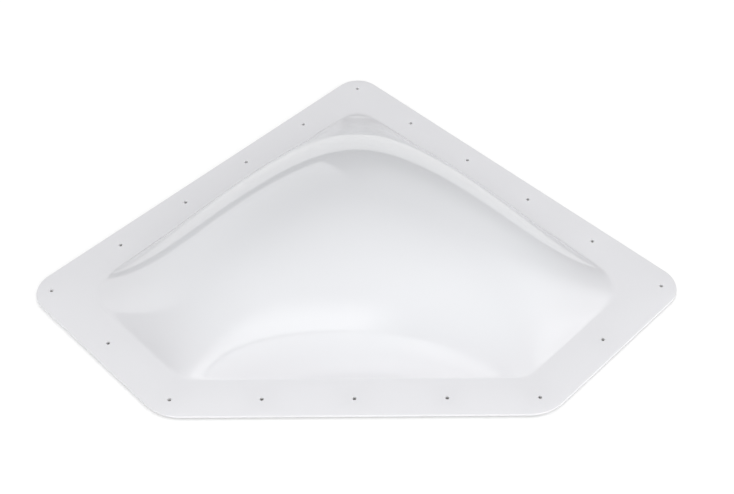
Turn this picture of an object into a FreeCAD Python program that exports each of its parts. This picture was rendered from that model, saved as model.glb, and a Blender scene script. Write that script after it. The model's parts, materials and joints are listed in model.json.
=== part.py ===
import FreeCAD, Part
import math
import os
import Sketcher
from FreeCAD import Vector

# Neo-angle roof skylight: a blown dome with a flat screw flange, on five lengths of sealing tape.
# Millimetres, +Z up. X runs from left to right, the right-angled apex points to +Y, the front edge to -Y.
# The origin is the middle of the flange's bounding box, at the underside of the sealing tape.

# Driving dimensions
DIMENSIONS = {
    "wall_side": 609.6,
    "return_side": 279.4,
    "flange_width": 52.0,
    "sheet_thickness": 3.2,
    "crown_thickness": 2.4,
    "bubble_height": 114.0,
    "root_height": 3.0,
    "wall_corner_radius": 36.0,
    "front_corner_radius": 60.0,
    "apex_bend_radius": 32.0,
    "side_bend_radius": 45.0,
    "front_bend_radius": 30.0,
    "rim_chamfer": 0.8,
    "hole_diameter": 4.8,
    "hole_inset": 24.4,
    "wall_hole_gaps": 5,
    "return_hole_gaps": 2,
    "front_hole_gaps": 4,
    "tape_width": 25.4,
    "tape_thickness": 3.2,
}

# Sides clockwise from above. Corners in the same order: apex, right, front right, front left, left
SIDE_NAMES = ("right_wall", "right_return", "front", "left_return", "left_wall")

# Fineness of the bubble's net of points, and how closely its heights are settled
BEND_STEPS = 4
SIDE_STEP = 30.0
RINGS = 18
RING_CROWDING = 2.0
OVERSHOOT = 1.6
SWEEPS = 10
MOST_ROUNDS = 400
SETTLED = 0.01

doc = FreeCAD.newDocument("neo_angle_skylight")


def fill_sheet():
    """Put the driving dimensions in a spreadsheet, one alias each."""
    sheet = doc.addObject("Spreadsheet::Sheet", "Sizes")
    for row, (alias, value) in enumerate(DIMENSIONS.items(), start=1):
        sheet.set(f"A{row}", alias)
        sheet.set(f"B{row}", str(value))
        sheet.setAlias(f"B{row}", alias)
    doc.recompute()
    return sheet


sizes = fill_sheet()


def size(alias):
    """One driving dimension, read from the sheet."""
    return float(getattr(sizes, alias))


# The plan: five corners, with the apex and the two outer corners square
def plan_corners():
    """Sharp corners of the flange, from the two side lengths and the right angles."""
    reach = size("wall_side") / math.sqrt(2)
    step = size("return_side") / math.sqrt(2)
    tip = size("wall_corner_radius") * (math.sqrt(2) - 1)
    back = (reach + step + tip) / 2
    return [
        Vector(0, back, 0),
        Vector(reach, back - reach, 0),
        Vector(reach - step, back - reach - step, 0),
        Vector(step - reach, back - reach - step, 0),
        Vector(-reach, back - reach, 0),
    ]


CORNERS = plan_corners()
COUNT = len(CORNERS)


def side_direction(index):
    """Unit vector along one side, from its first corner to the next."""
    return (CORNERS[(index + 1) % COUNT] - CORNERS[index]).normalize()


# A side's outward normal is its direction turned a quarter turn to the left
DIRECTIONS = [side_direction(index) for index in range(COUNT)]
NORMALS = [Vector(-along.y, along.x, 0) for along in DIRECTIONS]


def corner_bisector(index):
    """Outward vector at a corner, as long as a corner moves when both its sides move by 1 mm."""
    first, second = NORMALS[index - 1], NORMALS[index]
    return (first + second) / (1 + first.dot(second))


BISECTORS = [corner_bisector(index) for index in range(COUNT)]


def inset_corners(insets):
    """Corners moved inwards, each by its own inset from both of its sides."""
    return [corner - bisector * inset for corner, bisector, inset in zip(CORNERS, BISECTORS, insets)]


def rounded_wire(centres, radii, height):
    """Closed outline of five arcs and the five lines tangent to them, at one height."""
    lift = Vector(0, 0, height)
    edges = []
    for index in range(COUNT):
        centre = centres[index] + lift
        radius = radii[index]
        start = centre + NORMALS[index - 1] * radius
        middle = centre + Vector(BISECTORS[index]).normalize() * radius
        end = centre + NORMALS[index] * radius
        edges.append(Part.Arc(start, middle, end).toShape())
        following = (index + 1) % COUNT
        next_start = centres[following] + lift + NORMALS[index] * radii[following]
        edges.append(Part.LineSegment(end, next_start).toShape())
    return Part.Wire(edges)


def flange_radii():
    """Radii of the flange's outer corners: three square corners and two wide ones at the front."""
    square = size("wall_corner_radius")
    front = size("front_corner_radius")
    return [square, square, front, front, square]


def opening_radii():
    """Radii of the bends where the bubble leaves the flange."""
    side = size("side_bend_radius")
    front = size("front_bend_radius")
    return [size("apex_bend_radius"), side, front, front, side]


# The bubble: a free-blown film, clamped all round the opening and curved alike everywhere
def opening_points():
    """Points along the opening's outline: five bends in equal turns and five sides in equal steps."""
    radii = opening_radii()
    centres = inset_corners([size("flange_width") + radius for radius in radii])
    points = []
    for index in range(COUNT):
        first, second = NORMALS[index - 1], NORMALS[index]
        start_angle = math.atan2(first.y, first.x)
        turn = math.atan2(first.cross(second).z, first.dot(second))
        for step in range(BEND_STEPS + 1):
            angle = start_angle + turn * step / BEND_STEPS
            outward = Vector(math.cos(angle), math.sin(angle), 0)
            points.append(centres[index] + outward * radii[index])
        following = (index + 1) % COUNT
        side = centres[following] + second * radii[following] - points[-1]
        steps = max(2, round(side.Length / SIDE_STEP))
        start = points[-1]
        points += [start + side * (step / steps) for step in range(1, steps)]
    return points


def middle_point():
    """Point that is as far from both long walls as from the front edge."""
    back, front = CORNERS[0].y, CORNERS[2].y
    return Vector(0, (front + back / math.sqrt(2)) / (1 + 1 / math.sqrt(2)), 0)


def plan_rings():
    """Rings of points that shrink from the opening to the middle point, closest where the film is steep."""
    middle = middle_point()
    outline = opening_points()
    shares = [1 - (ring / RINGS) ** RING_CROWDING for ring in range(RINGS)]
    return [[middle + (point - middle) * share for point in outline] for share in shares], middle


def plan_triangles(rings, middle):
    """Triangles of the plan: corner numbers, each corner's slope vector, and area.

    Every cell is split both ways and each split counts half, so the film stays as symmetrical as its plan.
    """
    count = len(rings[0])
    points = [point for ring in rings for point in ring] + [middle]
    corners = []
    for ring in range(RINGS - 1):
        for place in range(count):
            here = ring * count
            beside = (place + 1) % count
            a, b = here + place, here + beside
            c, d = b + count, a + count
            corners += [(trio, 0.5) for trio in ((a, b, c), (a, c, d), (a, b, d), (b, c, d))]
    last = (RINGS - 1) * count
    corners += [((last + place, last + (place + 1) % count, RINGS * count), 1) for place in range(count)]
    triangles = []
    for trio, share in corners:
        a, b, c = (points[number] for number in trio)
        double_area = (b - a).cross(c - a).z
        opposite = ((b, c), (c, a), (a, b))
        slopes = [((p.y - q.y) / double_area, (q.x - p.x) / double_area) for p, q in opposite]
        triangles.append((trio, slopes, abs(double_area) / 2 * share))
    return triangles


def film_links(triangles, heights):
    """Pull between neighbouring points for the film's present slopes: less where the film is steep."""
    links = [{} for _ in heights]
    for trio, slopes, area in triangles:
        slope_x = sum(slope[0] * heights[number] for number, slope in zip(trio, slopes))
        slope_y = sum(slope[1] * heights[number] for number, slope in zip(trio, slopes))
        pull = area / math.sqrt(1 + slope_x * slope_x + slope_y * slope_y)
        for first, second in ((0, 1), (1, 2), (2, 0)):
            one, other = trio[first], trio[second]
            link = -pull * (slopes[first][0] * slopes[second][0] + slopes[first][1] * slopes[second][1])
            links[one][other] = links[one].get(other, 0) + link
            links[other][one] = links[other].get(one, 0) + link
    return links


def relax_ray(ray, heights, links, totals, lift):
    """Settle all the points of one ray together, from the clamped foot to the middle point."""
    gains, values = [0], [heights[ray[0]]]
    for below, number, above in zip(ray, ray[1:], ray[2:]):
        pulled = lift[number]
        for other, link in links[number].items():
            if other not in (below, above):
                pulled += link * heights[other]
        stay = totals[number] - links[number][below] * gains[-1]
        values.append((pulled + links[number][below] * values[-1]) / stay)
        gains.append(links[number][above] / stay)
    settled = heights[ray[-1]]
    for place in range(len(ray) - 2, 0, -1):
        settled = values[place] + gains[place] * settled
        heights[ray[place]] += OVERSHOOT * (settled - heights[ray[place]])


def film_heights(rings, middle, height):
    """Heights of a film under even pressure, which is set so that the film's top reaches the height."""
    count = len(rings[0])
    triangles = plan_triangles(rings, middle)
    centre = RINGS * count
    load = [0] * (centre + 1)
    for trio, _, area in triangles:
        for number in trio:
            load[number] += area / 3
    heights = []
    for ring in range(RINGS):
        share = 1 - (ring / RINGS) ** RING_CROWDING
        heights += [height * (1 - share * share)] * count
    heights.append(height)
    rays = [[ring * count + place for ring in range(RINGS)] + [centre] for place in range(count)]
    pressure = 2 / height
    for _ in range(MOST_ROUNDS):
        before = list(heights)
        links = film_links(triangles, heights)
        totals = [sum(links_here.values()) for links_here in links]
        for _ in range(SWEEPS):
            lift = [pressure * share for share in load]
            for ray in rays:
                relax_ray(ray, heights, links, totals, lift)
            pull = sum(link * heights[other] for other, link in links[centre].items())
            heights[centre] = (lift[centre] + pull) / totals[centre]
            stretch = height / max(heights)
            pressure *= stretch
            heights = [value * stretch for value in heights]
        if max(abs(new - old) for new, old in zip(heights, before)) < SETTLED:
            return heights
    raise RuntimeError("the film didn't settle")


def eased(height):
    """Height after the root bend: the film's first stretch leaves the flange in a parabola."""
    root = size("root_height")
    if height < root:
        return height * height / (2 * root)
    return height - root / 2


def outer_skin():
    """Rings of points on the bubble's outer face, and its top point."""
    rings, middle = plan_rings()
    blown = film_heights(rings, middle, size("bubble_height") + size("root_height") / 2)
    flange_top = size("tape_thickness") + size("sheet_thickness")
    count = len(rings[0])
    rises = [Vector(0, 0, flange_top + eased(height)) for height in blown]
    raised = []
    for ring, points in enumerate(rings):
        start = ring * count
        raised.append([point + rise for point, rise in zip(points, rises[start:start + count])])
    return raised, middle + rises[-1]


def wall_at(point):
    """Wall thickness, which thins evenly with the height that the sheet was blown to."""
    rise = point.z - size("tape_thickness") - size("sheet_thickness")
    thinning = size("sheet_thickness") - size("crown_thickness")
    return size("sheet_thickness") - thinning * rise / size("bubble_height")


def inner_skin(rings, top):
    """The outer face moved in by the wall, square to the surface."""
    moved = []
    for ring, points in enumerate(rings):
        row = []
        for place, point in enumerate(points):
            along = points[(place + 1) % len(points)] - points[place - 1]
            inward_point = rings[ring + 1][place] if ring + 1 < len(rings) else top
            across = inward_point - rings[max(ring - 1, 0)][place]
            upward = across.cross(along).normalize() if ring else Vector(0, 0, 1)
            row.append(point - upward * wall_at(point))
        moved.append(row)
    return moved, top - Vector(0, 0, wall_at(top))


def ring_wire(points, stations):
    """Smooth closed curve through one ring of points, which it meets at the given stations."""
    curve = Part.BSplineCurve()
    curve.interpolate(Points=points, Parameters=stations, PeriodicFlag=True)
    return Part.Wire([curve.toShape()])


def skin_faces(rings, top):
    """Loft through the rings of one skin, closed at its top point. All rings share the foot's stations."""
    foot = rings[0]
    stations = [0]
    for place, point in enumerate(foot):
        stations.append(stations[-1] + (foot[(place + 1) % len(foot)] - point).Length)
    wires = [ring_wire(points, stations) for points in rings]
    return wires[0], Part.makeLoft(wires + [Part.Vertex(top)], False, False).Faces


def ring_face(outer, inner):
    """Flat face between two outlines."""
    return Part.makeFace([outer, inner], "Part::FaceMakerBullseye")


def blown_sheet():
    """The whole sheet before drilling: two lofted skins, closed by the flange's faces and its rim."""
    radii = flange_radii()
    centres = inset_corners(radii)
    ease = size("rim_chamfer")
    bottom = size("tape_thickness")
    top = bottom + size("sheet_thickness")
    rings, crown = outer_skin()
    upper_foot, upper_faces = skin_faces(rings, crown)
    lower_foot, lower_faces = skin_faces(*inner_skin(rings, crown))
    rim = [
        rounded_wire(centres, radii, bottom),
        rounded_wire(centres, radii, top - ease),
        rounded_wire(centres, [radius - ease for radius in radii], top),
    ]
    faces = [ring_face(rim[-1], upper_foot), ring_face(rim[0], lower_foot)]
    faces += upper_faces + lower_faces
    faces += Part.makeLoft(rim, False, True).Faces
    shell = Part.makeShell(faces)
    shell.sewShape()
    solid = Part.makeSolid(shell)
    if solid.Volume < 0:
        solid.reverse()
    return solid


# Screw holes, evenly spaced along each side between the corner holes
def hole_centres(index):
    """Hole centres along one side, both corner holes included."""
    gaps = (
        size("wall_hole_gaps"),
        size("return_hole_gaps"),
        size("front_hole_gaps"),
        size("return_hole_gaps"),
        size("wall_hole_gaps"),
    )
    line = inset_corners([size("hole_inset")] * COUNT)
    start, end = line[index], line[(index + 1) % COUNT]
    count = int(gaps[index])
    return [start + (end - start) * step / count for step in range(count + 1)]


def level_plane(body):
    """The body's own horizontal plane."""
    return next(item for item in body.Origin.OriginFeatures if item.Role == "XY_Plane")


def add_sketch(body, name, height):
    """Sketch on the body's horizontal plane, lifted by an expression where one is given."""
    sketch = body.newObject("Sketcher::SketchObject", name)
    sketch.AttachmentSupport = [(level_plane(body), "")]
    sketch.MapMode = "FlatFace"
    if height:
        sketch.setExpression("AttachmentOffset.Base.z", height)
    return sketch


def bored_walls(shape, radius):
    """How many cylindrical faces of that radius a shape has."""
    rounds = [face.Surface for face in shape.Faces if isinstance(face.Surface, Part.Cylinder)]
    return sum(math.isclose(surface.Radius, radius) for surface in rounds)


def add_holes(body, name, centres, height, depth):
    """Pocket of equal round holes, driven down from the given height."""
    sketch = add_sketch(body, name + "_sketch", height)
    radius = size("hole_diameter") / 2
    for index, centre in enumerate(centres):
        circle = sketch.addGeometry(Part.Circle(Vector(centre.x, centre.y, 0), Vector(0, 0, 1), radius))
        sketch.addConstraint(Sketcher.Constraint("DistanceX", -1, 1, circle, 3, centre.x))
        sketch.addConstraint(Sketcher.Constraint("DistanceY", -1, 1, circle, 3, centre.y))
        constraint = sketch.addConstraint(Sketcher.Constraint("Radius", circle, radius))
        sketch.setExpression(f"Constraints[{constraint}]", "Sizes.hole_diameter / 2")
    pocket = body.newObject("PartDesign::Pocket", name)
    pocket.Profile = sketch
    pocket.setExpression("Length", depth)
    body.Tip = pocket
    doc.recompute()
    if bored_walls(pocket.Shape, radius) != len(centres):
        raise RuntimeError(f"{name} didn't cut all its holes")


def make_dome():
    """Drilled dome: the blown sheet is the body's base, and its flange is drilled."""
    sheet = doc.addObject("Part::Feature", "blown_sheet")
    sheet.Shape = blown_sheet()
    body = doc.addObject("PartDesign::Body", "outer_dome")
    body.Label = "outer_dome"
    body.BaseFeature = sheet
    doc.recompute()
    centres = []
    for index in range(COUNT):
        centres += hole_centres(index)[:-1]
    drilled_from = "Sizes.tape_thickness + Sizes.sheet_thickness"
    add_holes(body, "screw_holes", centres, drilled_from, "Sizes.sheet_thickness")
    return body


# Sealing tape, one length for each side, mitred where two lengths meet
def tape_edges(index):
    """Plan of one length: the outer side between two half corners, then a mitre, the inner side, a mitre."""
    margin = size("hole_inset") - size("tape_width") / 2
    radii = [radius - margin for radius in flange_radii()]
    centres = inset_corners([margin + radius for radius in radii])
    inner = inset_corners([margin + size("tape_width")] * COUNT)
    following = (index + 1) % COUNT
    normal = NORMALS[index]

    def half_corner(corner, toward_side):
        outward = Vector(BISECTORS[corner]).normalize()
        centre, radius = centres[corner], radii[corner]
        tip = centre + outward * radius
        middle = centre + (outward + normal).normalize() * radius
        foot = centre + normal * radius
        return (tip, middle, foot) if toward_side else (foot, middle, tip)

    first = half_corner(index, True)
    second = half_corner(following, False)
    return [
        Part.Arc(*first),
        Part.LineSegment(first[2], second[0]),
        Part.Arc(*second),
        Part.LineSegment(second[2], inner[following]),
        Part.LineSegment(inner[following], inner[index]),
        Part.LineSegment(inner[index], first[0]),
    ]


def make_tape(index):
    """One length of tape with the screw holes that pass through it."""
    name = "seal_tape_" + SIDE_NAMES[index]
    body = doc.addObject("PartDesign::Body", name)
    body.Label = name
    sketch = add_sketch(body, name + "_plan", None)
    for curve in tape_edges(index):
        sketch.addGeometry(curve)
    pad = body.newObject("PartDesign::Pad", name + "_strip")
    pad.Profile = sketch
    pad.setExpression("Length", "Sizes.tape_thickness")
    body.Tip = pad
    doc.recompute()
    add_holes(body, name + "_holes", hole_centres(index), "Sizes.tape_thickness", "Sizes.tape_thickness")
    return body


def check_document(pieces):
    """Stop if any object failed or any piece isn't one sound solid."""
    for item in doc.Objects:
        if "Invalid" in item.State or "Error" in item.State:
            raise RuntimeError(f"{item.Name} failed: {item.State}")
    for piece in pieces:
        shape = piece.Shape
        if shape.isNull() or not shape.isValid() or len(shape.Solids) != 1:
            raise RuntimeError(f"{piece.Label} isn't one valid solid")


def write_pieces(pieces):
    """Write each piece to its own file and print its volume and box."""
    os.makedirs("parts", exist_ok=True)
    for piece in pieces:
        piece.Shape.exportStep(f"parts/{piece.Label}.step")
        box = piece.Shape.BoundBox
        print(f"{piece.Label}: {piece.Shape.Volume / 1000:.2f} cm3, "
              f"{box.XLength:.1f} x {box.YLength:.1f} x {box.ZLength:.1f} mm")


pieces = [make_dome()] + [make_tape(index) for index in range(COUNT)]
doc.recompute()
check_document(pieces)
write_pieces(pieces)
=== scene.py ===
import json
import math

import bmesh
import bpy
import numpy as np
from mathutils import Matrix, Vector, geometry


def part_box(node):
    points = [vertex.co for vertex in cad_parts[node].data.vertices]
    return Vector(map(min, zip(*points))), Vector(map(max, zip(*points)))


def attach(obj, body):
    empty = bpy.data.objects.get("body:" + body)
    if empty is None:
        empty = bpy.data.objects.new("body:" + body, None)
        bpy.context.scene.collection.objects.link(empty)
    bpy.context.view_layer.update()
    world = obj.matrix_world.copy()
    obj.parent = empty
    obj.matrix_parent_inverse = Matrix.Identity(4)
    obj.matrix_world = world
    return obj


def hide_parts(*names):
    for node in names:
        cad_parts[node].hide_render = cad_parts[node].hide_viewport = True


# Looks of a neo-angle roof skylight: one free-blown sheet on five lengths of butyl sealing tape.
# Metres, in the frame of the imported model: +Z up, the right-angled apex points to +Y.

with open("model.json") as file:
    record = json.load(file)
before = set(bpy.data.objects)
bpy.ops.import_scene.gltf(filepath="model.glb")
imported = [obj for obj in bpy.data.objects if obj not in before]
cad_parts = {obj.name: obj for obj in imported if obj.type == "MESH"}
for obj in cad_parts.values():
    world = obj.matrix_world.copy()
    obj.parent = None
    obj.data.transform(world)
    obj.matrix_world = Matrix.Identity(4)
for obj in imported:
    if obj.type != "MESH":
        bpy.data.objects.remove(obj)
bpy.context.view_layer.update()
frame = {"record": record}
MM = 0.001

# The sheet's own sizes; its reach, height and screw holes are read from the frame
SHEET = 3.2 * MM
FLANGE_WIDTH = 52.0 * MM
CROWN_WALL = 2.4 * MM
ROOT_HEIGHT = 3.0 * MM
WALL_CORNER_RADIUS = 36.0 * MM
FRONT_CORNER_RADIUS = 60.0 * MM
APEX_BEND_RADIUS = 32.0 * MM
SIDE_BEND_RADIUS = 45.0 * MM
FRONT_BEND_RADIUS = 30.0 * MM
RIM_ROUNDING = 0.8 * MM
TAPE_WIDTH = 25.4 * MM
TAPE_ROUNDING = 0.9 * MM

# Fineness of the meshes, and the edges between faces that stay sharp
RINGS = 56
RING_CROWDING = 1.8
BEND_POINTS = 12
SIDE_POINT_GAP = 8.0 * MM
HOLE_POINTS = 20
ROUNDING_STEPS = 3
FILM_ROUNDS = 40
FILM_SETTLED = 0.01 * MM
WELD_GAP = 0.002 * MM
FILL_INSIDE = 1
FILL_TOLERANCE = 1e-8
SHEET_SHARP_DEGREES = 40
TAPE_SHARP_DEGREES = 50

FLANGE_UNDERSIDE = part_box("seal_tape_front")[1].z
FLANGE_TOP = FLANGE_UNDERSIDE + SHEET


def hole_list(record):
    """Centres (x, y) of the screw holes and their radius, from the record's bolt patterns."""
    centres = []
    radius = 0.0
    for mount in record["mounts"]:
        if mount["kind"] != "bolt_pattern":
            continue
        half_x = mount["dims"].get("spacing_x_mm", 0.0) / 2 * MM
        half_y = mount["dims"].get("spacing_y_mm", 0.0) / 2 * MM
        radius = mount["dims"]["hole_r_mm"] * MM
        x, y = mount["pos_m"][:2]
        centres += [(x - half_x, y - half_y), (x + half_x, y + half_y)]
    return np.array(centres), radius


HOLES, HOLE_RADIUS = hole_list(frame["record"])


# The plan: a five-sided outline, clockwise from the apex, with the way that each side faces.
# TIP is what the rounding takes off the sharp point of a right-angled corner
SIDE_NAMES = ("right_wall", "right_return", "front", "left_return", "left_wall")
SIDE_ANGLES = np.radians([45.0, -45.0, -90.0, -135.0, -225.0])
WIDTH, DEPTH, HEIGHT = frame["record"]["size"]["bbox_m"]
TIP = WALL_CORNER_RADIUS * (math.sqrt(2) - 1)
REACH = WIDTH / 2 + TIP
BACK = DEPTH / 2 + TIP
STEP = BACK + DEPTH / 2 - REACH
RIGHT_CORNERS = [(REACH, BACK - REACH), (REACH - STEP, BACK - REACH - STEP)]
LEFT_CORNERS = [(-x, y) for x, y in reversed(RIGHT_CORNERS)]
CORNERS = np.array([(0.0, BACK), *RIGHT_CORNERS, *LEFT_CORNERS])


def unit(angle):
    """Unit vectors at the given angles."""
    return np.stack([np.cos(angle), np.sin(angle)], -1)


def bisector(corner):
    """Outward vector at a corner, as long as the corner moves when both its sides move out by 1."""
    first, second = unit(SIDE_ANGLES[corner - 1]), unit(SIDE_ANGLES[corner])
    return (first + second) / (1 + first @ second)


def half_outline(inset, radii):
    """Right half, from the apex to the middle of the front: arcs at the corners, lines between."""
    rows = []
    for corner, radius in enumerate(radii):
        start = math.pi / 2 if corner == 0 else SIDE_ANGLES[corner - 1]
        points = BEND_POINTS // 2 if corner == 0 else BEND_POINTS
        centre = CORNERS[corner] - bisector(corner) * (inset + radius)
        arc = centre + radius * unit(np.linspace(start, SIDE_ANGLES[corner], points + 1))
        if rows:
            rows.append(straight(rows[-1][-1], arc[0]))
        rows.append(arc)
    last = rows[-1][-1]
    rows.append(straight(last, np.array([0.0, last[1]])))
    rows.append(np.array([[0.0, last[1]]]))
    return np.concatenate(rows)


def straight(start, end):
    """Evenly spaced points between two ends, without the ends."""
    steps = max(2, round(float(np.linalg.norm(end - start)) / SIDE_POINT_GAP))
    share = np.linspace(0, 1, steps + 1)[1:-1, None]
    return start + (end - start) * share


def whole(half):
    """A half outline and its mirror image, as one closed outline; works on any row of points."""
    mirrored = half[-2:0:-1] * np.array([-1.0] + [1.0] * (half.shape[1] - 1))
    return np.concatenate([half, mirrored])


def moved_in(outline, distance):
    """A closed clockwise outline moved inwards, each point along the bisector of its two edges."""
    edges = np.roll(outline, -1, 0) - outline
    edges = edges / np.linalg.norm(edges, axis=1, keepdims=True)
    outward = np.stack([-edges[:, 1], edges[:, 0]], 1)
    before = np.roll(outward, 1, 0)
    slant = 1 + np.sum(outward * before, 1, keepdims=True)
    return outline - distance * (outward + before) / slant


# The bubble: a film clamped round the opening and blown up by even pressure. MIDDLE lies as far
# from the two long walls as from the front
OPENING_RADII = (APEX_BEND_RADIUS, SIDE_BEND_RADIUS, FRONT_BEND_RADIUS)
RIM_RADII = (WALL_CORNER_RADIUS, WALL_CORNER_RADIUS, FRONT_CORNER_RADIUS)
OPENING = half_outline(FLANGE_WIDTH, OPENING_RADII)
MIDDLE = np.array([0.0, (BACK / math.sqrt(2) - DEPTH / 2) / (1 + 1 / math.sqrt(2))])


def plan_rings():
    """The opening's outline shrunk ring by ring towards the middle.

    Ring r loses the share r / RINGS to the power RING_CROWDING, so rings crowd near the foot.
    """
    shares = 1 - (np.arange(RINGS) / RINGS) ** RING_CROWDING
    rings = [MIDDLE + (OPENING - MIDDLE) * share for share in shares]
    return rings + [MIDDLE[None]]


def band_triangles(count, closing):
    """Corner numbers of the triangles between two rings; every cell is split both ways."""
    a = np.arange(count - 1)
    b, d = a + 1, a + count
    c = d + 1
    if closing:
        return np.stack([a, b, np.full_like(a, count)], 1), 1.0
    trios = [(a, b, c), (a, c, d), (a, b, d), (b, c, d)]
    return np.concatenate([np.stack(trio, 1) for trio in trios]), 0.5


def band_pull(points, heights, trios, weight):
    """Stiffness of the film between two rings at its present slopes, and each point's plan area.

    A triangle pulls by its area, divided by the root of one plus its slope squared.
    """
    p = points[trios]
    q = np.roll(p, -1, 1) - np.roll(p, 1, 1)
    double = np.cross(p[:, 1] - p[:, 0], p[:, 2] - p[:, 0])
    slopes = np.stack([-q[:, :, 1], q[:, :, 0]], -1) / double[:, None, None]
    tilt = np.einsum("tkd,tk->td", slopes, heights[trios])
    area = np.abs(double) / 2 * weight
    pull = area / np.sqrt(1 + np.sum(tilt * tilt, 1))
    local = np.einsum("tid,tjd->tij", slopes, slopes) * pull[:, None, None]
    matrix = np.zeros((len(points), len(points)))
    np.add.at(matrix, (trios[:, :, None], trios[:, None, :]), local)
    load = np.bincount(trios.ravel(), np.repeat(area / 3, 3), len(points))
    return matrix, load


def settle(diagonal, outward, load):
    """Heights in balance: rings are eliminated from the foot inwards, then filled in outwards."""
    steps = []
    block, right = diagonal[0], load[0]
    for ring in range(1, len(diagonal)):
        known = np.linalg.solve(block, np.column_stack([outward[ring - 1], right]))
        steps.append(known)
        block = diagonal[ring] - outward[ring - 1].T @ known[:, :-1]
        right = load[ring] - outward[ring - 1].T @ known[:, -1]
    heights = [np.linalg.solve(block, right)]
    for known in reversed(steps):
        heights.insert(0, known[:, -1] - known[:, :-1] @ heights[0])
    return heights


def film_heights(rings, height):
    """Heights of the film on the half plan, with the pressure that brings its top to the height.

    Each round solves the balance at the last round's slopes and scales it to the height.
    """
    count = len(rings[0])
    shares = 1 - (np.arange(RINGS + 1) / RINGS) ** RING_CROWDING
    heights = [np.full(len(ring), height * (1 - share ** 2)) for ring, share in zip(rings, shares)]
    for _ in range(FILM_ROUNDS):
        diagonal = [np.zeros((len(ring), len(ring))) for ring in rings]
        load = [np.zeros(len(ring)) for ring in rings]
        outward = []
        for ring in range(RINGS):
            trios, weight = band_triangles(count, ring == RINGS - 1)
            points = np.concatenate(rings[ring:ring + 2])
            matrix, area = band_pull(points, np.concatenate(heights[ring:ring + 2]), trios, weight)
            diagonal[ring] += matrix[:count, :count]
            diagonal[ring + 1] += matrix[count:, count:]
            outward.append(matrix[:count, count:])
            load[ring] += area[:count]
            load[ring + 1] += area[count:]
        settled = [np.zeros(count)] + settle(diagonal[1:], outward[1:], load[1:])
        stretch = height / max(ring.max() for ring in settled)
        settled = [ring * stretch for ring in settled]
        change = max(np.abs(new - old).max() for new, old in zip(settled, heights))
        heights = settled
        if change < FILM_SETTLED:
            break
    return heights


def outer_skin():
    """Rings of points on the bubble's outer face, and its top.

    A parabola eases the foot in: a film height below ROOT_HEIGHT is squared and divided by twice
    ROOT_HEIGHT, and a greater one loses half of ROOT_HEIGHT.
    """
    rings = plan_rings()
    rise = HEIGHT - FLANGE_TOP
    heights = film_heights(rings, rise + ROOT_HEIGHT / 2)
    skin = []
    for plan, blown in zip(rings, heights):
        bend = blown ** 2 / (2 * ROOT_HEIGHT)
        eased = np.where(blown < ROOT_HEIGHT, bend, blown - ROOT_HEIGHT / 2)
        skin.append(np.column_stack([plan, FLANGE_TOP + eased]))
    return np.array([whole(row) for row in skin[:-1]]), skin[-1][0]


def inner_skin(skin, top):
    """The outer face moved in by the wall, square to the surface.

    The wall thins evenly with height, from SHEET at the foot to CROWN_WALL at the top.
    """
    ring_inside = np.concatenate([skin[1:], np.broadcast_to(top, skin[:1].shape)])
    ring_outside = skin[[0, *range(RINGS - 1)]]
    across = ring_inside - ring_outside
    along = np.roll(skin, -1, 1) - np.roll(skin, 1, 1)
    upward = np.cross(across, along)
    upward /= np.linalg.norm(upward, axis=2, keepdims=True)
    upward[0] = (0, 0, 1)
    thinning = (SHEET - CROWN_WALL) / (HEIGHT - FLANGE_TOP)
    wall = SHEET - thinning * (skin[:, :, 2:] - FLANGE_TOP)
    return skin - upward * wall, top - np.array([0, 0, CROWN_WALL])


# Meshes are patches of points and faces, welded where their edges meet
def grid_patch(rows, turned=False, closed=True):
    """Four-sided faces between the rows of a grid of points, each row closed round."""
    rows = np.asarray(rows)
    count = rows.shape[1]
    number = np.arange(rows.shape[0] * count).reshape(rows.shape[:2])
    here = number if closed else number[:, :-1]
    beside = np.roll(number, -1, 1) if closed else number[:, 1:]
    faces = np.stack([here[:-1], beside[:-1], beside[1:], here[1:]], -1).reshape(-1, 4)
    return rows.reshape(-1, 3), faces[:, ::-1] if turned else faces


def fan_patch(row, tip, turned=False):
    """Three-sided faces from a closed row of points to one tip."""
    here = np.arange(len(row))
    faces = np.stack([here, np.roll(here, -1), np.full_like(here, len(row))], 1)
    return np.vstack([row, tip]), faces[:, ::-1] if turned else faces


def flat_patch(outline, gaps, height, turned=False):
    """Triangles that fill a flat outline round its convex gaps, at one height.

    A triangle with all its corners on one gap's edge lies in that gap and is left out.
    """
    loops = [outline, *gaps]
    edges = []
    owner = []
    for place, loop in enumerate(loops):
        number = np.arange(len(loop))
        edges += (np.stack([number, np.roll(number, -1)], 1) + len(owner)).tolist()
        owner += [place] * len(loop)
    points = np.concatenate(loops).tolist()
    filled = geometry.delaunay_2d_cdt(points, edges, [], FILL_INSIDE, FILL_TOLERANCE)
    corners, _, faces, sources = filled[:4]
    owner = np.array([owner[source[0]] for source in sources])
    faces = np.array(faces)
    owners = owner[faces]
    in_gap = (owners[:, 0] > 0) & (owners == owners[:, :1]).all(1)
    faces = faces[~in_gap]
    return at_height(np.array(corners), height), faces[:, ::-1] if turned else faces


def at_height(outline, height):
    """A flat outline as a row of points at one height."""
    return np.column_stack([outline, np.full(len(outline), height)])


def circle(centre, radius):
    """Clockwise round outline."""
    return centre + radius * unit(-np.linspace(0, 2 * math.pi, HOLE_POINTS, endpoint=False))


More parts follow.
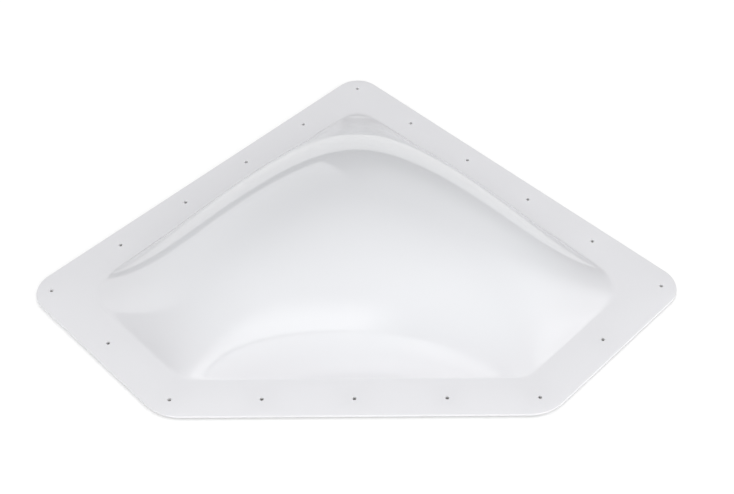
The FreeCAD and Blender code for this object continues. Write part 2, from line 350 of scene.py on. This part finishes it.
def welded(name, patches, material, sharp_degrees):
    """One object from patches of points and faces: welded, smooth, and sharp past an angle."""
    points = np.concatenate([patch[0] for patch in patches])
    faces = []
    first = 0
    for patch_points, patch_faces in patches:
        faces += (np.asarray(patch_faces) + first).tolist()
        first += len(patch_points)
    mesh = bpy.data.meshes.new(name)
    mesh.from_pydata(points.tolist(), [], faces)
    shape = bmesh.new()
    shape.from_mesh(mesh)
    bmesh.ops.remove_doubles(shape, verts=shape.verts, dist=WELD_GAP)
    shape.to_mesh(mesh)
    shape.free()
    mesh.polygons.foreach_set("use_smooth", [True] * len(mesh.polygons))
    mesh.set_sharp_from_angle(angle=math.radians(sharp_degrees))
    mesh.materials.append(material)
    piece = bpy.data.objects.new(name, mesh)
    bpy.context.scene.collection.objects.link(piece)
    return piece


def rounded_edge(outline, low, high, rounding, both):
    """Rows of an outline from the lower face's edge up to the upper one's.

    The upper edge is a quarter circle, and the lower one too if both are wanted.
    """
    turn = np.linspace(0, math.pi / 2, ROUNDING_STEPS + 1)
    heights = high - rounding * (1 - np.sin(turn))
    insets = rounding * (1 - np.cos(turn))
    foot_heights = low + high - heights[::-1] if both else [low]
    foot_insets = insets[::-1] if both else [0.0]
    rows = zip([*foot_heights, *heights], [*foot_insets, *insets])
    return [at_height(moved_in(outline, inset), height) for height, inset in rows]


# Materials. Noise lies mostly between these two values
NOISE_RANGE = (0.3, 0.7)

# Blown sheet: the heights between which one zone gives way to the next. A cut edge is low and
# not level, where a level face counts 1 and an upright one 0
ROOT_ZONE = (FLANGE_TOP + 0.5 * MM, FLANGE_TOP + 9.0 * MM)
# Painted shade: the foot of the bubble is greyed from here, fading out by half the height
PAINTED_FOOT_SHADE_ZONE = (FLANGE_TOP + 5.0 * MM, 0.5 * HEIGHT)
CROWN_ZONE = (0.6 * HEIGHT, HEIGHT)
CLAMP_ZONE = (FLANGE_TOP + 0.1 * MM, FLANGE_TOP + 2.5 * MM)
CUT_ZONE = (FLANGE_TOP + 0.05 * MM, FLANGE_TOP - 0.05 * MM)
CUT_LEVELNESS = (0.75, 0.35)
FLANGE_COLOUR = "#dedee1"
# The foot colour is painted shade, a little greyer than the flange and the wall
PAINTED_FOOT_SHADE_COLOUR = "#dddde0"
WALL_COLOUR = "#e0e1e4"
CROWN_COLOUR = "#d9dadd"
# The cut colour is whiter for the frosted cut, and partly painted light that lifts the shade in the
# drilled holes
FROSTED_CUT_AND_PAINTED_LIGHT_COLOUR = "#f0f0f2"
CLOUD_SIZE = 140 * MM
CLOUD_WEIGHT = 0.20
MARK_SIZE = 45 * MM
MARK_DETAIL = 4.0
MARK_ROUGHNESS = 0.035
CLAMPED_ROUGHNESS = 0.155
BLOWN_SMOOTHNESS = 0.11
CUT_ROUGHNESS = 0.35
WAVE_SIZE = 85 * MM
WAVE_DETAIL = 1.0
WAVE_DEPTH = 0.12 * MM
SAWN_SIZE = 0.6 * MM
SAWN_DEPTH = 0.04 * MM
POLYCARBONATE_IOR = 1.585
MILKINESS = 0.12
MILK_DEPTH = 3.0 * MM
MILK_SPREAD = (1.0, 0.97, 0.93)

# Sealing tape
TAPE_COLOUR = "#a6a5a1"
SMEAR_COLOUR = "#969591"
SMEAR_SIZE = 22 * MM
SMEAR_DETAIL = 3.0
SMEAR_SMOOTHNESS = 0.16
BUTYL_ROUGHNESS = 0.74
BUTYL_IOR = 1.5
LUMP_SIZE = 9 * MM
LUMP_DEPTH = 0.35 * MM
WEAVE_GAP = 1.2 * MM
WEAVE_LOOSENESS = 0.25
WEAVE_DEPTH = 0.05 * MM

# Studio paper
PAPER_COLOUR = "#e9e9e9"
FIBRE_COLOUR = "#e7e7e7"
FIBRE_SIZE = 3 * MM
FIBRE_DETAIL = 3.0
FLOOR_LIFT = 0.21


def linear(colour):
    """Linear red, green, blue and full opacity of an sRGB hex colour."""
    parts = [int(colour[start:start + 2], 16) / 255 for start in (1, 3, 5)]
    tones = [p / 12.92 if p <= 0.04045 else ((p + 0.055) / 1.055) ** 2.4 for p in parts]
    return (*tones, 1.0)


def add_node(tree, kind, settings=None, **links):
    """Add a node, set its properties and sockets, and link its inputs by name."""
    node = tree.nodes.new(kind)
    for key, value in (settings or {}).items():
        if isinstance(key, str) and hasattr(node, key):
            setattr(node, key, value)
        else:
            node.inputs[key].default_value = value
    for socket, source in links.items():
        tree.links.new(source, node.inputs[socket.replace("_", " ")])
    return node


def new_material(name):
    """Empty node material with its output node."""
    material = bpy.data.materials.new(name)
    material.use_nodes = True
    tree = material.node_tree
    tree.nodes.clear()
    return material, tree, tree.nodes.new("ShaderNodeOutputMaterial")


def share_of(tree, value, low, high):
    """Smooth step from 0 at the low value to 1 at the high one."""
    settings = {"interpolation_type": "SMOOTHSTEP", 1: low, 2: high, 3: 0.0, 4: 1.0}
    return add_node(tree, "ShaderNodeMapRange", settings, Value=value).outputs[0]


def patches_of(tree, place, size, detail=2.0):
    """Soft noise from 0 to 1 with patches of the given size in metres."""
    settings = {"Scale": 1 / size, "Detail": detail, "Roughness": 0.5}
    noise = add_node(tree, "ShaderNodeTexNoise", settings, Vector=place)
    return share_of(tree, noise.outputs["Fac"], *NOISE_RANGE)


def weighted(tree, terms, start):
    """A start value plus the sum of values times their weights."""
    total = None
    for value, weight in terms:
        settings = {"operation": "MULTIPLY_ADD", 1: weight, 2: start}
        node = add_node(tree, "ShaderNodeMath", settings, Value=value)
        if total is not None:
            tree.links.new(total, node.inputs[2])
        total = node.outputs[0]
    return total


def product_of(tree, first, second):
    """Two values multiplied."""
    node = add_node(tree, "ShaderNodeMath", {"operation": "MULTIPLY"}, Value=first)
    tree.links.new(second, node.inputs[1])
    return node.outputs[0]


def mixed(tree, share, first, second):
    """Two colours mixed by a share; each is a hex colour or a socket."""
    node = add_node(tree, "ShaderNodeMix", {"data_type": "RGBA"})
    tree.links.new(share, node.inputs["Factor"])
    for socket, colour in ((node.inputs[6], first), (node.inputs[7], second)):
        if isinstance(colour, str):
            socket.default_value = linear(colour)
        else:
            tree.links.new(colour, socket)
    return node.outputs[2]


def bumped(tree, height, depth, under=None):
    """Surface direction after relief of a depth in metres, over another relief if there is one."""
    node = add_node(tree, "ShaderNodeBump", {"Strength": 1.0, "Distance": depth}, Height=height)
    if under is not None:
        tree.links.new(under, node.inputs["Normal"])
    return node.outputs["Normal"]


def blown_polycarbonate():
    """Opal white polycarbonate sheet, free-blown.

    A hard clear gloss over a milky body that lets a little light through. The foot of the bubble
    is painted a shade greyer than the flange: painted shade for the shadow round its root, fading
    out by half the height. The wall above it is milky white, and the thinned crown lets more light
    through and greys again. The clamping frame has dulled the flange. The sawn rim and the drilled
    holes are frosted and drawn whiter, partly for the frost and partly as painted light that lifts
    the shade in the holes. Slow waves from the oven make the mirrored lamps uneven, and faint
    handling marks break up the gloss.
    """
    material, tree, output = new_material("opal_polycarbonate_free_blown_gloss")
    coordinates = add_node(tree, "ShaderNodeTexCoord").outputs
    place = coordinates["Object"]
    height = add_node(tree, "ShaderNodeSeparateXYZ", Vector=place).outputs["Z"]
    facing = add_node(tree, "ShaderNodeSeparateXYZ", Vector=coordinates["Normal"]).outputs["Z"]
    level = add_node(tree, "ShaderNodeMath", {"operation": "ABSOLUTE"}, Value=facing).outputs[0]
    raised = share_of(tree, height, *ROOT_ZONE)
    out_of_painted_foot_shade = share_of(tree, height, *PAINTED_FOOT_SHADE_ZONE)
    thinned = share_of(tree, height, *CROWN_ZONE)
    blown = share_of(tree, height, *CLAMP_ZONE)
    low = share_of(tree, height, *CUT_ZONE)
    cut = product_of(tree, low, share_of(tree, level, *CUT_LEVELNESS))

    clouds = patches_of(tree, place, CLOUD_SIZE)
    # Painted shade: the bubble's foot is greyed, fading out by half the height, broken by clouds of
    # random tone
    painted_foot_shade_fade_and_clouds = weighted(tree, [(out_of_painted_foot_shade, 1.0 - CLOUD_WEIGHT), (clouds, CLOUD_WEIGHT)], 0.0)
    wall = mixed(tree, painted_foot_shade_fade_and_clouds, PAINTED_FOOT_SHADE_COLOUR, WALL_COLOUR)
    bubble = mixed(tree, thinned, wall, CROWN_COLOUR)
    sheet = mixed(tree, raised, FLANGE_COLOUR, bubble)
    # Cut faces: frosted white, and partly painted light that lifts the shade inside the holes
    colour = mixed(tree, cut, sheet, FROSTED_CUT_AND_PAINTED_LIGHT_COLOUR)

    marks = patches_of(tree, place, MARK_SIZE, MARK_DETAIL)
    terms = [(marks, MARK_ROUGHNESS), (blown, -BLOWN_SMOOTHNESS), (cut, CUT_ROUGHNESS)]
    roughness = weighted(tree, terms, CLAMPED_ROUGHNESS)

    waves = patches_of(tree, place, WAVE_SIZE, WAVE_DETAIL)
    sawn = product_of(tree, patches_of(tree, place, SAWN_SIZE), cut)
    surface = bumped(tree, waves, WAVE_DEPTH)
    surface = bumped(tree, sawn, SAWN_DEPTH, surface)

    body = add_node(tree, "ShaderNodeBsdfPrincipled", {
        "IOR": POLYCARBONATE_IOR,
        "Subsurface Weight": MILKINESS,
        "Subsurface Radius": MILK_SPREAD,
        "Subsurface Scale": MILK_DEPTH,
    }, Base_Color=colour, Roughness=roughness, Normal=surface)
    tree.links.new(body.outputs["BSDF"], output.inputs["Surface"])
    return material


def butyl_tape():
    """Grey butyl mastic tape, cut from a roll.

    Matt, soft and slightly lumpy, with the fine weave that its release paper leaves and darker
    smears where it has been pressed.
    """
    material, tree, output = new_material("butyl_mastic_tape_matt_grey")
    place = add_node(tree, "ShaderNodeTexCoord").outputs["Object"]
    smears = patches_of(tree, place, SMEAR_SIZE, SMEAR_DETAIL)
    colour = mixed(tree, smears, TAPE_COLOUR, SMEAR_COLOUR)
    roughness = weighted(tree, [(smears, -SMEAR_SMOOTHNESS)], BUTYL_ROUGHNESS)
    lumps = patches_of(tree, place, LUMP_SIZE)
    weave_settings = {"Scale": 1 / WEAVE_GAP, "Randomness": WEAVE_LOOSENESS}
    weave = add_node(tree, "ShaderNodeTexVoronoi", weave_settings, Vector=place)
    surface = bumped(tree, lumps, LUMP_DEPTH)
    surface = bumped(tree, weave.outputs["Distance"], WEAVE_DEPTH, surface)
    body = add_node(tree, "ShaderNodeBsdfPrincipled", {"IOR": BUTYL_IOR},
                    Base_Color=colour, Roughness=roughness, Normal=surface)
    tree.links.new(body.outputs["BSDF"], output.inputs["Surface"])
    return material


def floor_material():
    """Seamless white studio paper. Its fibre is drawn coarser than real, so that it shows.

    Seen directly, mirrored or through the sheet it is lifted to white by FLOOR_LIFT, which
    lights nothing.
    """
    material, tree, output = new_material("white_studio_paper")
    place = add_node(tree, "ShaderNodeTexCoord").outputs["Object"]
    fibre = patches_of(tree, place, FIBRE_SIZE, FIBRE_DETAIL)
    colour = mixed(tree, fibre, PAPER_COLOUR, FIBRE_COLOUR)
    paper = add_node(tree, "ShaderNodeBsdfDiffuse", Color=colour)
    path = add_node(tree, "ShaderNodeLightPath").outputs
    rays = ("Is Camera Ray", "Is Glossy Ray", "Is Transmission Ray")
    seen = weighted(tree, [(path[ray], FLOOR_LIFT) for ray in rays], 0.0)
    lift = add_node(tree, "ShaderNodeEmission", Strength=seen)
    both = add_node(tree, "ShaderNodeAddShader")
    tree.links.new(paper.outputs["BSDF"], both.inputs[0])
    tree.links.new(lift.outputs["Emission"], both.inputs[1])
    tree.links.new(both.outputs["Shader"], output.inputs["Surface"])
    return material


# Pieces
def make_dome(material):
    """The whole sheet: two skins of the bubble, the drilled flange and its rounded rim."""
    rim = whole(half_outline(0.0, RIM_RADII))
    rim_rows = rounded_edge(rim, FLANGE_UNDERSIDE, FLANGE_TOP, RIM_ROUNDING, False)
    skin, top = outer_skin()
    under, under_top = inner_skin(skin, top)
    bores = [circle(centre, HOLE_RADIUS) for centre in HOLES]
    opening = whole(OPENING)
    patches = [
        grid_patch(skin, True),
        fan_patch(skin[-1], top, True),
        grid_patch(under),
        fan_patch(under[-1], under_top),
        grid_patch(rim_rows, True),
        flat_patch(rim_rows[-1][:, :2], [opening, *bores], FLANGE_TOP),
        flat_patch(rim_rows[0][:, :2], [opening, *bores], FLANGE_UNDERSIDE, True),
    ]
    for bore in bores:
        ends = [at_height(bore, FLANGE_TOP), at_height(bore, FLANGE_UNDERSIDE)]
        patches.append(grid_patch(ends, True))
    return welded("blown_sheet", patches, material, SHEET_SHARP_DEGREES)


# Sealing tape: five lengths under the flange, centred on the screw holes
TAPE_MARGIN = HOLES[:, 1].min() + DEPTH / 2 - TAPE_WIDTH / 2
PRESS_STEP = 0.12 * MM
PRESS_WAVES = (0.61, 1.37)


def tape_outline(side):
    """Clockwise outline, cut along the bisectors of the two corners.

    It runs round half a corner, along the outer side, round half a corner, along a mitre, back
    along the inner side and along the other mitre.
    """
    following = (side + 1) % len(SIDE_NAMES)
    rim_radii = RIM_RADII + RIM_RADII[:0:-1]
    ends = []
    for corner, before in ((side, True), (following, False)):
        radius = rim_radii[corner] - TAPE_MARGIN
        centre = CORNERS[corner] - bisector(corner) * rim_radii[corner]
        half_turn = (SIDE_ANGLES[corner - 1] - SIDE_ANGLES[corner]) % (2 * math.pi) / 2
        shift = (half_turn, 0.0) if before else (0.0, -half_turn)
        turn = SIDE_ANGLES[side] + np.linspace(*shift, BEND_POINTS // 2 + 1)
        ends.append(centre + radius * unit(turn))
    inset = TAPE_MARGIN + TAPE_WIDTH
    inner = [CORNERS[corner] - bisector(corner) * inset for corner in (following, side)]
    loop = [ends[0], straight(ends[0][-1], ends[1][0]), ends[1]]
    for start, end in ((ends[1][-1], inner[0]), (inner[0], inner[1]), (inner[1], ends[0][0])):
        loop += [straight(start, end), end[None]]
    return np.concatenate(loop)[:-1]


def make_tape(side, material):
    """One length of tape and its screw holes.

    Its edges are pressed in by two sine waves along the outline, from 0 to 4 times PRESS_STEP.
    """
    name = "tape_length_" + SIDE_NAMES[side]
    outline = tape_outline(side)
    run = np.arange(len(outline))
    slow, quick = PRESS_WAVES
    pressed = PRESS_STEP * (2 + np.sin(run * slow + side) + np.sin(run * quick + 2 * side))
    outline = moved_in(outline, pressed[:, None])
    edges = np.roll(outline, -1, 0) - outline
    bores = []
    for centre in HOLES:
        beside = np.cross(edges, centre - outline)
        if beside.max() < 0:
            bores.append(circle(centre, HOLE_RADIUS))
    rows = rounded_edge(outline, 0.0, FLANGE_UNDERSIDE, TAPE_ROUNDING, True)
    patches = [
        grid_patch(rows, True),
        flat_patch(rows[-1][:, :2], bores, FLANGE_UNDERSIDE),
        flat_patch(rows[0][:, :2], bores, 0.0, True),
    ]
    for bore in bores:
        ends = [at_height(bore, FLANGE_UNDERSIDE), at_height(bore, 0.0)]
        patches.append(grid_patch(ends, True))
    return welded(name, patches, material, TAPE_SHARP_DEGREES)


dome = make_dome(blown_polycarbonate())
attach(dome, "root")
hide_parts("outer_dome")

tape_material = butyl_tape()
for side, side_name in enumerate(SIDE_NAMES):
    tape = make_tape(side, tape_material)
    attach(tape, "root")
    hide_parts("seal_tape_" + side_name)


# The photograph's camera, found from the sheet's corners and screw holes
CAMERA_PLACE = (0.0319, -1.1118, 1.1998)
CAMERA_TURN = (41.998, 0.767, 0.060)
CAMERA_LENS_MM = 58.74
CAMERA_SENSOR_MM = 36.0
FLOOR_HALF = 40.0


def make_camera():
    """Camera at the photograph's place and angle."""
    data = bpy.data.cameras.new("photo_camera")
    data.lens = CAMERA_LENS_MM
    data.sensor_width = CAMERA_SENSOR_MM
    camera = bpy.data.objects.new("photo_camera", data)
    camera.location = CAMERA_PLACE
    camera.rotation_euler = [math.radians(turn) for turn in CAMERA_TURN]
    bpy.context.scene.collection.objects.link(camera)
    bpy.context.scene.camera = camera


def make_floor(material):
    """Wide flat floor just under the tape."""
    half = FLOOR_HALF
    corners = [(-half, -half, 0), (half, -half, 0), (half, half, 0), (-half, half, 0)]
    mesh = bpy.data.meshes.new("studio_floor")
    mesh.from_pydata(corners, [], [(0, 1, 2, 3)])
    mesh.materials.append(material)
    floor = bpy.data.objects.new("studio_floor", mesh)
    bpy.context.scene.collection.objects.link(floor)


# Studio light: a soft sky that brightens overhead, and large softboxes that the gloss mirrors
SKY_POWER = 3.0
SOFTBOX_DISTANCE = 4.0
SKY_LOW = 0.11
SKY_OVERHEAD = 1.51
# Name; bearing from +Y towards +X and height above the horizon in degrees; width and height in
# metres; brightness; share of the width that fades at the greater bearing and at the lesser one,
# and of the height below and above
SOFTBOXES = [
    ("back_left_softbox", -45.5, 29.5, 6.14, 3.0, 0.95, (0.04, 0.04, 0.02, 0.80)),
    ("left_softbox", -72, 28, 1.9, 2.6, 0.62, (0.90, 0.05, 0.30, 0.50)),
    ("back_right_softbox", 22, 30, 4.5, 3.0, 0.40, (0.35, 0.35, 0.45, 0.50)),
    ("right_softbox", 84, 30, 4.4, 3.2, 1.24, (0.40, 0.40, 0.40, 0.50)),
    ("front_right_softbox", 132, 20, 7.4, 3.2, 1.18, (0.25, 0.25, 0.10, 0.35)),
    ("front_high_softbox", 197, 50, 3.4, 2.0, 1.80, (0.30, 0.30, 0.08, 0.70)),
    ("front_low_softbox", 194, 18, 4.6, 2.7, 1.22, (0.15, 0.15, 0.06, 0.06)),
    ("front_fill_softbox", 160, 8, 5.4, 1.2, 0.55, (0.30, 0.30, 0.10, 0.30)),
]


def make_world():
    """Soft sky: dim at the horizon, and brighter with a power of the height above it."""
    world = bpy.data.worlds.new("studio")
    world.use_nodes = True
    tree = world.node_tree
    place = add_node(tree, "ShaderNodeTexCoord")
    split = add_node(tree, "ShaderNodeSeparateXYZ", Vector=place.outputs["Generated"])
    height = add_node(tree, "ShaderNodeClamp", Value=split.outputs["Z"])
    power = {"operation": "POWER", 1: SKY_POWER}
    raised = add_node(tree, "ShaderNodeMath", power, Value=height.outputs[0])
    level = weighted(tree, [(raised.outputs[0], SKY_OVERHEAD)], SKY_LOW)
    background = tree.nodes["Background"]
    background.inputs["Color"].default_value = (1, 1, 1, 1)
    tree.links.new(level, background.inputs["Strength"])
    bpy.context.scene.world = world


def fade(tree, value, share, rising):
    """Smooth step of a lamp coordinate, over a share of the lamp at its low or high edge."""
    return share_of(tree, value, *((0.0, share) if rising else (1.0, 1.0 - share)))


def make_softbox(name, bearing, elevation, width, height, brightness, fades):
    """Rectangular lamp aimed at the object, unseen by the camera, that dims towards its edges."""
    data = bpy.data.lights.new(name, "AREA")
    data.shape = "RECTANGLE"
    data.size, data.size_y = width, height
    data.energy = math.pi * width * height * brightness
    data.use_nodes = True
    tree = data.node_tree
    place = add_node(tree, "ShaderNodeTexCoord")
    split = add_node(tree, "ShaderNodeSeparateXYZ", Vector=place.outputs["UV"])
    greater, lesser, low, high = fades
    across, up = split.outputs["X"], split.outputs["Y"]
    level = fade(tree, across, greater, True)
    for value, share, rising in ((across, lesser, False), (up, low, True), (up, high, False)):
        level = product_of(tree, level, fade(tree, value, share, rising))
    tree.links.new(level, tree.nodes["Emission"].inputs["Strength"])
    lamp = bpy.data.objects.new(name, data)
    turn, tilt = math.radians(bearing), math.radians(elevation)
    flat = math.cos(tilt)
    outward = Vector((math.sin(turn) * flat, math.cos(turn) * flat, math.sin(tilt)))
    lamp.location = outward * SOFTBOX_DISTANCE
    lamp.rotation_euler = (-outward).to_track_quat("-Z", "Y").to_euler()
    lamp.visible_camera = False
    bpy.context.scene.collection.objects.link(lamp)


make_camera()
make_floor(floor_material())
make_world()
for softbox in SOFTBOXES:
    make_softbox(*softbox)
bpy.context.scene.view_settings.view_transform = "Standard"
